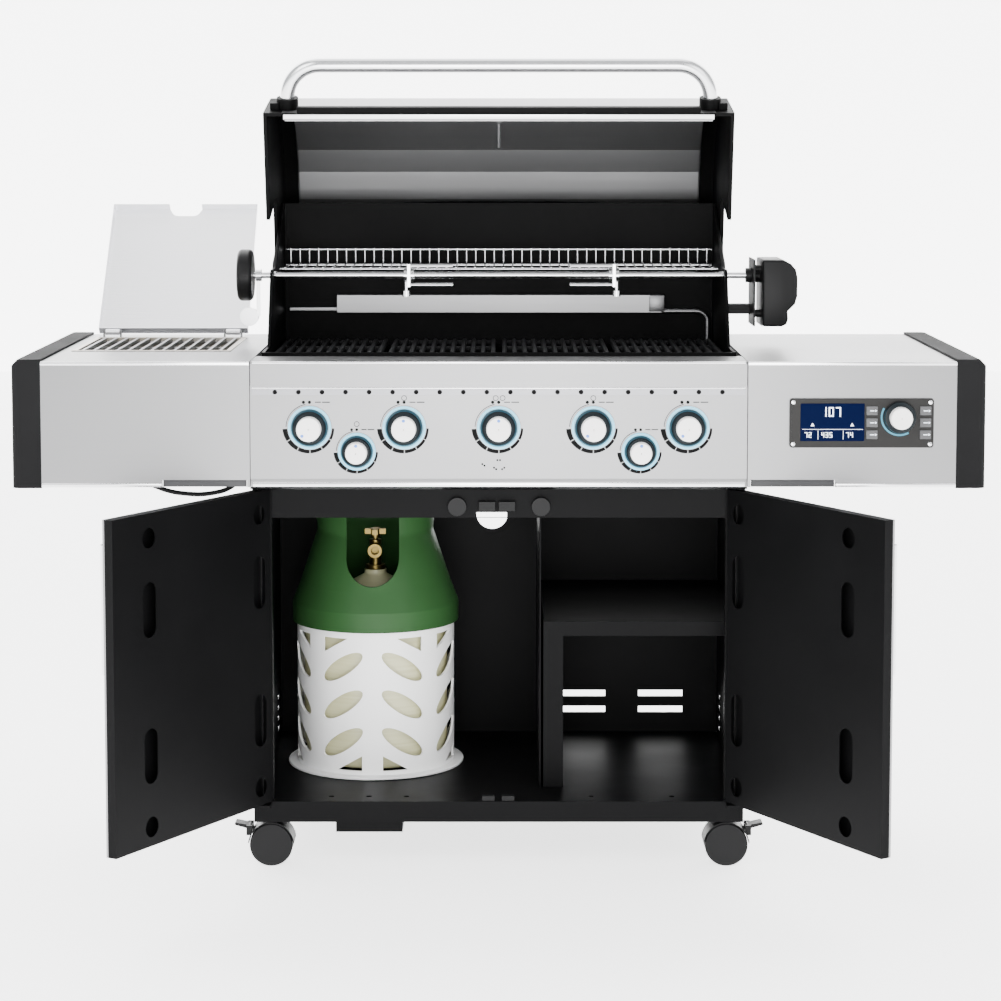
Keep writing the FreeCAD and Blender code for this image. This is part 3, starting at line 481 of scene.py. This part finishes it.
def lining(outline, half, rounding):
    """A sheet across the lid along (y, z) points of its closed section."""
    bpy.ops.object.select_all(action="DESELECT")
    bpy.ops.mesh.primitive_plane_add(size=1, location=(0, 0, 0))
    mesh = bmesh.new()
    rows = [[mesh.verts.new((x, y, z)) for x in (-half, 0, half)] for y, z in outline]
    for front, back in zip(rows, rows[1:]):
        for i in (0, 1):
            mesh.faces.new((front[i], front[i + 1], back[i + 1], back[i]))
    bmesh.ops.recalc_face_normals(mesh, faces=mesh.faces)
    mesh.to_mesh(bpy.context.object.data)
    mesh.free()
    if rounding:
        modify("SUBSURF", levels=rounding, render_levels=rounding)
    modify("SOLIDIFY", thickness=0.0015)


lining([(-0.209, 0.914), (-0.197, 1.030), (-0.187, 1.074), (-0.156, 1.124), (-0.074, 1.189), (-0.026, 1.206),
        (0.030, 1.212)], 0.376, 0)
piece = lid_piece("lid_liner_folded", liner_steel, 3)
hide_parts("lid_liner")
lining([(0.034, 1.209), (0.120, 1.209), (0.165, 1.200), (0.205, 1.176), (0.262, 1.110)], 0.377, 2)
lid_piece("lid_rear_panel", cast_black)


# ---- Doors ----
# Each door is a shallow stainless skin over a black pressed tray with lightening slots, hung on pins,
# with a tube handle on the outside. The hollow side of the skin takes the black coat as painted shade, the
# dark of the hollow behind the slots.
door_steel = brushed_steel("door_steel", (0.29, 0.29, 0.293), 0.34, along=(900, 900, 2.5))
for side, way in (("left", -1), ("right", 1)):
    def inside(face, way=way):
        """Does the face look into the door's hollow? It is turned back to where it is when shut."""
        shut = Matrix.Rotation(math.radians(121) * -way, 3, "Z")
        return (shut @ face.normal).y > 0.5

    finished("door_%s_skin" % side, door_steel, edge=0.0005, keep=lambda face: not inside(face))
    # The skin's inward faces are painted black: painted shade inside the hollow door, seen through the
    # slots.
    finished("door_%s_skin" % side, satin_black, edge=0, keep=inside, ending="lining")
    finished("door_%s_liner" % side, satin_black, edge=0.0005)
    finished("door_%s_handle" % side, handle_steel, edge=0.0008)


# ---- Side shelves and end caps ----
# Folded brushed stainless with moulded dark grey caps on the outer ends.
cap_grey = moulded("cap_grey", (0.010, 0.010, 0.0103), 0.6, 1800, 0.02)
finished("side_shelf_left", sheet_steel, edge=0.0008)
finished("side_shelf_right", sheet_steel, edge=0.0008)
finished("end_caps", cap_grey, edge=0.002)
# Near-white steel strips along the shelves' front top and bottom edges are painted highlights: the bright
# bands that the rolled edges catch.
painted_highlight_steel = brushed_steel("painted_highlight_steel", (0.9, 0.9, 0.91), 0.22)
shelf_low, shelf_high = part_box("side_shelf_right")
panel_low, panel_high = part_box("control_panel")
highlight_strips = []
for x, y, z in (((shelf_low.x, shelf_high.x), shelf_low.y, (shelf_high.z - 0.0064, shelf_high.z + 0.0003)),
                ((-shelf_high.x, -shelf_low.x), shelf_low.y, (shelf_high.z - 0.0064, shelf_high.z + 0.0003)),
                ((0.562, shelf_high.x), shelf_low.y, (shelf_low.z, shelf_low.z + 0.0066)),
                ((-shelf_high.x, -0.562), shelf_low.y, (shelf_low.z, shelf_low.z + 0.0066))):
    block((x[0], y - 0.0004, z[0]), (x[1], y + 0.0024, z[1]), 0.0016, 3)
    highlight_strips.append(bpy.context.object)
merge(highlight_strips)
settle("shelf_edge_highlights", "grill", painted_highlight_steel)
# Dark grey strips set just inside the shelves' front lower edges are painted shade, standing for the shaded
# underside of the shelf fronts.
shadow_grey = powder_coat("painted_underside_shade", (0.05, 0.05, 0.052), 0.6)
shade_strips = []
for left, right in ((0.421, 0.5605), (-0.5605, -0.421)):
    block((left, shelf_low.y + 0.0035, shelf_low.z + 0.0002),
          (right, shelf_low.y + 0.0055, shelf_low.z + 0.016), 0.0005)
    shade_strips.append(bpy.context.object)
merge(shade_strips)
settle("shelf_underside_shade_strips", "grill", shadow_grey)


# ---- Side burner, its grate and its lid ----
# A pressed stainless bowl with a ported burner head, under a loose wire-bar grate; the lid is a
# shallow folded pan with a finger notch, on two hinge barrels.
finished("side_burner", hot_steel)
finished("side_grate", sheet_steel, edge=0.001)
# The lid's stainless is coloured near white, far brighter than the other steel: painted light for the sheen
# it catches.
pan_steel_painted_light = brushed_steel("pan_steel_painted_light", (0.96, 0.96, 0.985), 0.3)
finished("side_burner_lid", pan_steel_painted_light)


# ---- Gas manifold, grease tray ----
# Machined brass valves on their rail, and a thin pressed steel tray under the fire box.
def brass_metal():
    finish = Finish("valve_brass", (0.5, 0.4, 0.18), 0.35, 1.0)
    stain = finish.noise(60, 4)
    finish.set(Base_Color=finish.mix(stain, (0.10, 0.07, 0.022), (0.24, 0.18, 0.06)),
               Roughness=stain * 0.3 + 0.22)
    return finish.material


brass = brass_metal()
finished("gas_manifold", brass)
finished("grease_tray", powder_coat("tray_grey", (0.1, 0.1, 0.105), 0.5))


# ---- Control panel ----
# One folded stainless sheet. The marks and small icons by the knobs are screen-printed; a lit plastic
# ring glows round each knob, and a row of small vents runs under the top step, drawn as black discs of
# painted shade.
panel_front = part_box("control_panel")[0].y + 0.002
print_black = powder_coat("print_black", (0.004, 0.004, 0.004), 0.6)
LARGE = [(-0.315, 0.773, 1), (-0.1575, 0.773, 2), (0, 0.773, 3), (0.1575, 0.773, 4), (0.315, 0.773, 5)]
SMALL = [(-0.2365, 0.733, "side_burner"), (0.2365, 0.733, "rear_burner")]
panel = finished("control_panel", sheet_steel, edge=0.0008)


def glow(name, color, strength, edge_color):
    """A lit diffuser: bright in patches near its lamps."""
    finish = Finish(name, edge_color, 0.35, Emission_Strength=strength)
    patches = finish.noise(45, 1)
    finish.set(Emission_Color=finish.mix(patches, color, tuple(min(1, c * 1.35 + 0.08) for c in color)))
    return finish.material


ring_glow = glow("ring_glow", (0.2, 0.6, 0.85), 0.8, (0.2, 0.55, 0.75))


def disc(x, y, z, radius, depth, edge=0.0008, sides=64):
    """A round piece that faces forward, its front edge rounded; y is its back."""
    bpy.ops.object.select_all(action="DESELECT")
    bpy.ops.mesh.primitive_cylinder_add(vertices=sides, radius=radius, depth=depth,
                                        location=(x, y - depth / 2, z), rotation=(math.pi / 2, 0, 0))
    bpy.ops.object.transform_apply(location=True, rotation=True, scale=True)
    modify("BEVEL", width=edge, segments=2, limit_method="ANGLE", angle_limit=math.radians(50))


def arc_mark(x, z, inner, outer, start, end, y, depth=0.0002):
    """A printed arc on the panel between two radii and two clock angles in degrees."""
    steps = max(3, int(abs(end - start) / 5))
    mesh = bmesh.new()
    rows = []
    for i in range(steps + 1):
        share = i / steps
        angle = math.radians(start + (end - start) * share)
        low = inner[0] + (inner[1] - inner[0]) * share
        high = outer[0] + (outer[1] - outer[0]) * share
        way = Vector((math.cos(angle), 0, math.sin(angle)))
        rows.append([mesh.verts.new(Vector((x, y, z)) + way * r) for r in (low, high)])
    for a, b in zip(rows, rows[1:]):
        mesh.faces.new((a[0], a[1], b[1], b[0]))
    data = bpy.data.meshes.new("mark")
    bmesh.ops.recalc_face_normals(mesh, faces=mesh.faces)
    mesh.to_mesh(data)
    mesh.free()
    piece = bpy.data.objects.new("mark", data)
    bpy.context.scene.collection.objects.link(piece)
    bpy.ops.object.select_all(action="DESELECT")
    piece.select_set(True)
    bpy.context.view_layer.objects.active = piece
    modify("SOLIDIFY", thickness=depth, offset=0)
    return bpy.context.object


def dial_marks(x, z, scale):
    """Six blocks that thin out from nine o'clock through six to three, a hairline, and two dots."""
    marks = []
    y = panel_front - 0.0001
    radius, thick = 0.0372 * scale, 0.0082 * scale
    for i in range(6):
        start, end = 183 + i * 29.5, 183 + i * 29.5 + 27.6
        widths = [thick * (1 - 0.55 * share / 6) for share in (i, i + 1)]
        marks.append(arc_mark(x, z, (radius, radius), [radius + w for w in widths], start, end, y))
    marks.append(arc_mark(x, z, (radius + 0.0016,) * 2, (radius + 0.0028,) * 2, 100, 178, y))
    for dx in (-0.010, 0):
        disc(x + dx * scale, y, z + 0.0425 * scale, 0.0028 * scale, 0.0002, 0.00004, 16)
        marks.append(bpy.context.object)
    for dx, length in ((0.009, 0.010), (0.021, 0.013)):
        left, low = x + dx * scale, z + 0.0418 * scale
        block((left, y - 0.0001, low), (left + length * scale, y + 0.0001, low + 0.0016), 0.00004, 1)
        marks.append(bpy.context.object)
    return marks


marks = []
for x, z, _ in LARGE:
    marks += dial_marks(x, z, 1.0)
for x, z, _ in SMALL:
    marks += dial_marks(x, z, 0.86)
for x, z in ((-0.2365, 0.779), (-0.1575, 0.8225), (-0.005, 0.8225), (0.0065, 0.8225), (0.1575, 0.8225)):
    marks.append(arc_mark(x, z, (0.0036,) * 2, (0.0046,) * 2, 0, 360, panel_front - 0.0001))
for x, z, way in ((-0.0255, 0.7105, -35), (-0.006, 0.7045, -35), (0.0075, 0.7045, 35), (0, 0.7185, 0)):
    slant = math.radians(way)
    for end in (-0.0022, 0.0022):
        disc(x + end * math.cos(slant), panel_front - 0.0001, z + end * math.sin(slant), 0.0017, 0.0002,
             0.00004, 12)
        marks.append(bpy.context.object)
merge(marks)
settle("dial_marks", "grill", print_black)

step_shade = brushed_steel("step_shade", (0.3, 0.3, 0.315), 0.4)
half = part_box("control_panel")[1].x - 0.003
block((-half, panel_front - 0.0002, 0.8275), (half, panel_front + 0.0004, 0.8375), 0.0001, 1)
settle("panel_recess", "grill", step_shade)
# Near-white strips on the panel's top edge, its bottom lip and a line over the recess are painted
# highlights.
bright = []
for low, high, forward in ((0.8380, 0.8402, 0.0012), (0.8795, panel_high.z + 0.0002, -0.0034),
                           (panel_low.z + 0.0002, panel_low.z + 0.0075, -0.0034)):
    block((-half, panel_front - forward, low), (half, panel_front - forward + 0.0018, high), 0.0006)
    bright.append(bpy.context.object)
merge(bright)
settle("panel_edge_highlights", "grill", painted_highlight_steel)

# Flat black discs in the print colour stand for the vent holes: their black is painted shade inside the
# holes.
dots = []
for i in range(20):
    disc(-0.3725 + i * 0.0392, panel_front - 0.0003, 0.8325, 0.0040, 0.0003, 0.00005, 20)
    dots.append(bpy.context.object)
merge(dots)
settle("panel_vent_shade_discs", "grill", print_black)

rings = []
for x, z, outer in [(x, z, 0.0362) for x, z, _ in LARGE] + [(x, z, 0.0316) for x, z, _ in SMALL]:
    bpy.ops.object.select_all(action="DESELECT")
    bpy.ops.mesh.primitive_torus_add(location=(x, panel_front - 0.0019, z), rotation=(math.pi / 2, 0, 0),
                                     major_radius=outer - 0.0026, minor_radius=0.0026,
                                     major_segments=64, minor_segments=10)
    rings.append(bpy.context.object)
merge(rings)
settle("knob_light_rings", "grill", ring_glow)


# ---- Knobs ----
# A flared black skirt whose outer edge carries a dim teal glow, painted light for the lit ring's light
# caught there, a satin white cap pressed into it and a small blue pointer. Three of the large knobs are
# turned to about half past seven.
white_cap = moulded("satin_white", (0.95, 0.93, 0.915), 0.32, 2600)
pointer_blue = glow("pointer_blue", (0.08, 0.25, 0.8), 0.35, (0.05, 0.18, 0.6))
skirt_black = moulded("skirt_black", (0.006, 0.009, 0.011), 0.32)
teal = glow("skirt_painted_ring_glow", (0.004, 0.06, 0.10), 0.12, (0.003, 0.035, 0.055))


def turned_shape(profile, x, y, z, sides=64):
    """A profile of (radius, depth forward) points spun about the knob's axis."""
    mesh = bmesh.new()
    line = [mesh.verts.new((r, -depth, 0)) for r, depth in profile]
    edges = [mesh.edges.new(pair) for pair in zip(line, line[1:])]
    bmesh.ops.spin(mesh, geom=line + edges, cent=(0, 0, 0), axis=(0, 1, 0), angle=math.tau, steps=sides,
                   use_duplicate=False)
    bmesh.ops.remove_doubles(mesh, verts=mesh.verts, dist=0.00002)
    bmesh.ops.recalc_face_normals(mesh, faces=mesh.faces)
    bmesh.ops.translate(mesh, verts=mesh.verts, vec=(x, y, z))
    data = bpy.data.meshes.new("turned")
    mesh.to_mesh(data)
    mesh.free()
    piece = bpy.data.objects.new("turned", data)
    bpy.context.scene.collection.objects.link(piece)
    bpy.ops.object.select_all(action="DESELECT")
    piece.select_set(True)
    bpy.context.view_layer.objects.active = piece
    return piece


def knob(name, x, z, skirt, cap, turn):
    body = "knob_%s" % name
    back = panel_front - 0.0035
    turned_shape([(0.006, 0.0002), (skirt - 0.001, 0.0002), (skirt, 0.001), (skirt - 0.0008, 0.004),
                  (skirt - 0.003, 0.009), (skirt - 0.005, 0.011), (cap + 0.0035, 0.0125),
                  (cap + 0.001, 0.0132), (0.006, 0.0132), (0.006, 0.0002)], x, back, z)
    piece = settle(body + "_skirt", body, skirt_black)
    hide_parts(body)
    turned_shape([(0.001, 0.0132), (cap, 0.0132), (cap - 0.0002, 0.028), (cap - 0.0012, 0.0302),
                  (cap - 0.0035, 0.0308), (0.001, 0.0304), (0.001, 0.0132)], x, back, z)
    settle(body + "_cap", body, white_cap)
    # The skirt's outer edge glows dim teal though it is no lamp: painted light standing for the ring's light
    # caught on it.
    turned_shape([(skirt - 0.0026, 0.0078), (skirt - 0.0006, 0.0034), (skirt - 0.0001, 0.0040),
                  (skirt - 0.0022, 0.0086), (skirt - 0.0026, 0.0078)], x, back, z)
    settle(body + "_edge_painted_ring_glow", body, teal)
    angle = math.radians(90 + turn)
    reach = cap * 0.72
    disc(x + reach * math.cos(angle), back - 0.0303, z + reach * math.sin(angle), 0.0027, 0.0008, 0.0002, 24)
    settle(body + "_pointer", body, pointer_blue)


for x, z, number in LARGE:
    knob("burner_%d" % number, x, z, 0.0305, 0.0205, 135 if number in (1, 4, 5) else 0)
for x, z, name in SMALL:
    knob(name, x, z, 0.0265, 0.018, 0)


# ---- Controller ----
# A black bezel screwed to the right shelf's front, with a deep blue backlit display, six grey
# rubber keys and its own turning knob.
finished("controller_housing", moulded("bezel_black", (0.014, 0.0135, 0.013), 0.4), edge=0.0008)
bezel_low, bezel_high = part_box("controller_housing")
screen_back = -0.3450
screen_glass = Finish("screen_blue", (0.002, 0.004, 0.02), 0.5, Emission_Strength=0.3,
                      Specular_IOR_Level=0.01)
cells = screen_glass.noise(60, 1)
screen_glass.set(Emission_Color=screen_glass.mix(cells, (0.002, 0.003, 0.04), (0.003, 0.005, 0.06)))
block((0.502, screen_back - 0.0012, 0.751), (0.6085, screen_back + 0.0003, 0.814), 0.0008)
settle("display_window", "grill", screen_glass.material)
digit_white = glow("digit_white", (0.8, 0.88, 1.0), 1.4, (0.8, 0.85, 0.95))
SEGMENTS = {"0": "abcdef", "1": "bc", "2": "abged", "3": "abgcd", "4": "fgbc", "5": "afgcd", "6": "afgedc",
            "7": "abc", "8": "abcdefg", "9": "abfgcd", "C": "afed"}


def digits(text, left, low, height):
    """Seven-segment figures as thin lit bars."""
    bars = []
    width, thick, y = height * 0.52, height * 0.13, screen_back - 0.0016
    for place, figure in enumerate(text):
        x = left + place * (width + height * 0.22)
        spots = {"a": (x, x + width, low + height - thick, low + height),
                 "d": (x, x + width, low, low + thick),
                 "g": (x, x + width, low + (height - thick) / 2, low + (height + thick) / 2),
                 "f": (x, x + thick, low + height / 2, low + height),
                 "e": (x, x + thick, low, low + height / 2),
                 "b": (x + width - thick, x + width, low + height / 2, low + height),
                 "c": (x + width - thick, x + width, low, low + height / 2)}
        for segment in SEGMENTS[figure]:
            x0, x1, z0, z1 = spots[segment]
            block((x0, y, z0), (x1, y + 0.0005, z1), 0.0001, 1)
            bars.append(bpy.context.object)
    return bars


lit = digits("107", 0.537, 0.792, 0.016) + digits("72", 0.509, 0.757, 0.009)
lit += digits("435", 0.537, 0.757, 0.009) + digits("74", 0.578, 0.757, 0.009)
for x in (0.522, 0.588):
    bpy.ops.object.select_all(action="DESELECT")
    bpy.ops.mesh.primitive_cylinder_add(vertices=3, radius=0.0035, depth=0.0005,
                                        location=(x, screen_back - 0.0014, 0.778),
                                        rotation=(math.pi / 2, 0, 0))
    modify("BEVEL", width=0.0001, segments=1)
    lit.append(bpy.context.object)
for x in (0.531, 0.573):
    block((x, screen_back - 0.0016, 0.754), (x + 0.0006, screen_back - 0.0011, 0.769), 0.0001, 1)
    lit.append(bpy.context.object)
block((0.505, screen_back - 0.0016, 0.7705), (0.606, screen_back - 0.0011, 0.7711), 0.0001, 1)
lit.append(bpy.context.object)
merge(lit)
settle("display_figures", "grill", digit_white)

key_grey = moulded("key_grey", (0.085, 0.085, 0.088), 0.5)
symbols = []
KEY_COLUMNS, KEY_ROWS = (0.621, 0.710), (0.762, 0.782, 0.802)
for x in KEY_COLUMNS:
    for z in KEY_ROWS:
        block((x - 0.0035, screen_back - 0.0028, z - 0.0007),
              (x + 0.0035, screen_back - 0.0022, z + 0.0007), 0.0001, 1)
        symbols.append(bpy.context.object)
        bpy.ops.object.select_all(action="DESELECT")
        bpy.ops.mesh.primitive_cylinder_add(vertices=3, radius=0.0022, depth=0.0006,
                                            location=(x + 0.006, screen_back - 0.0025, z),
                                            rotation=(math.pi / 2, math.pi / 2, 0))
        modify("BEVEL", width=0.0001, segments=1)
        symbols.append(bpy.context.object)
merge(symbols)
settle("controller_key_symbols", "grill", digit_white)
keys = []
for x in KEY_COLUMNS:
    for z in KEY_ROWS:
        block((x - 0.0095, screen_back - 0.0026, z - 0.0075),
              (x + 0.0095, screen_back + 0.0002, z + 0.0075), 0.0012, 3)
        keys.append(bpy.context.object)
merge(keys)
settle("controller_key_tops", "grill", key_grey)
screws = []
for x in (0.490, 0.718):
    for z in (0.746, 0.816):
        disc(x, screen_back + 0.0004, z, 0.0034, 0.0016, 0.0005, 24)
        screws.append(bpy.context.object)
merge(screws)
settle("controller_screws", "grill", chrome)

dial_x, dial_z, dial_back = 0.667, 0.791, -0.349
turned_shape([(0.006, 0.0002), (0.0265, 0.0002), (0.0268, 0.002), (0.0255, 0.008), (0.0205, 0.0095),
              (0.0195, 0.0100), (0.006, 0.0100), (0.006, 0.0002)], dial_x, dial_back, dial_z)
piece = settle("controller_knob_skirt", "controller_knob", skirt_black)
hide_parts("controller_knob")
turned_shape([(0.001, 0.0100), (0.0188, 0.0100), (0.018, 0.0225), (0.0165, 0.0240), (0.001, 0.0238),
              (0.001, 0.0100)], dial_x, dial_back, dial_z)
settle("controller_knob_cap", "controller_knob", white_cap)
arc_mark(dial_x, dial_z, (0.0285, 0.0285), (0.0315, 0.0315), 150, 300, screen_back - 0.0004, 0.0006)
teal_arc = glow("teal_arc", (0.01, 0.28, 0.42), 0.5, (0.01, 0.16, 0.24))
settle("controller_arc", "grill", teal_arc)


# ---- Rotisserie ----
# A plated spit with clamp forks and a balance weight, a moulded grip, and the motor: its bracket keeps
# its own shape, and the black case is modelled.
finished("rotisserie_motor", black_plastic, edge=0.0005, ending="bracket",
         keep=lambda face: max(v.co.x for v in face.verts) < 0.4662)


def motor_case():
    """The moulded case: a deep bulge above and a set-back switch box below, seen from the front."""
    low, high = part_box("rotisserie_motor")
    outline = [(0, 0), (0.035, 0), (0.043, 0.004), (0.046, 0.013), (0.045, 0.027), (0.058, 0.040),
               (0.062, 0.054), (0.0622, 0.086), (0.059, 0.101), (0.050, 0.111), (0.037, 0.118),
               (0, 0.118)]
    bpy.ops.object.select_all(action="DESELECT")
    bpy.ops.mesh.primitive_plane_add(size=1, location=(0, 0, 0))
    mesh = bmesh.new()
    rim = [mesh.verts.new((high.x - 0.0624 + x, low.y + 0.0004, low.z + z)) for x, z in outline]
    face = mesh.faces.new(rim)
    grown = bmesh.ops.extrude_face_region(mesh, geom=[face])
    lifted = [v for v in grown["geom"] if isinstance(v, bmesh.types.BMVert)]
    bmesh.ops.translate(mesh, verts=lifted, vec=(0, 0.1192, 0))
    bmesh.ops.recalc_face_normals(mesh, faces=mesh.faces)
    mesh.to_mesh(bpy.context.object.data)
    mesh.free()
    modify("BEVEL", width=0.005, segments=3, limit_method="ANGLE", angle_limit=math.radians(60))
    piece = settle("rotisserie_motor_case", "grill", black_plastic, 40)
    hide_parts("rotisserie_motor")


motor_case()
finished("spit_rod", chrome, edge=0.0004)
finished("spit_handle", black_plastic, edge=0)
finished("spit_fork_left", chrome, edge=0.0004)
finished("spit_fork_right", chrome, edge=0.0004)


# ---- Gas bottle ----
# A translucent composite vessel inside a white slotted jacket, with a green moulded shroud round a
# brass valve.
def translucent_vessel():
    finish = Finish("composite_vessel", (0.6, 0.6, 0.38), 0.3, Coat_Weight=0.3, Coat_Roughness=0.2)
    fibre = finish.noise(1, 4, (8, 8, 260))
    finish.set(Base_Color=finish.mix(fibre, (0.5, 0.48, 0.27), (0.66, 0.65, 0.42)),
               Roughness=fibre * 0.2 + 0.25)
    return finish.material


bottle_white = moulded("bottle_white", (0.93, 0.93, 0.925), 0.35)
bottle_green = moulded("bottle_green", (0.022, 0.068, 0.020), 0.42)
finished("bottle_sleeve", bottle_white, edge=0.0008)
neck_z, seam = 0.47, 0.0002
finished("bottle_vessel", translucent_vessel(), edge=0,
         keep=lambda face: max(v.co.z for v in face.verts) < neck_z + seam)
finished("bottle_vessel", brass, ending="valve",
         keep=lambda face: min(v.co.z for v in face.verts) > neck_z - seam)
finished("bottle_shroud", bottle_green, edge=0.0012)
finished("bottle_handwheel", brass)


# ---- Castors ----
# Moulded hoods with twin tyred wheels and sprung steel brake levers with plastic pads.
for place in ("front_left", "front_right", "rear_left", "rear_right"):
    finished("castor_fork_" + place, black_plastic)
    finished("castor_wheel_" + place, black_rubber, edge=0)
for side in ("left", "right"):
    finished("brake_lever_" + side, black_plastic)
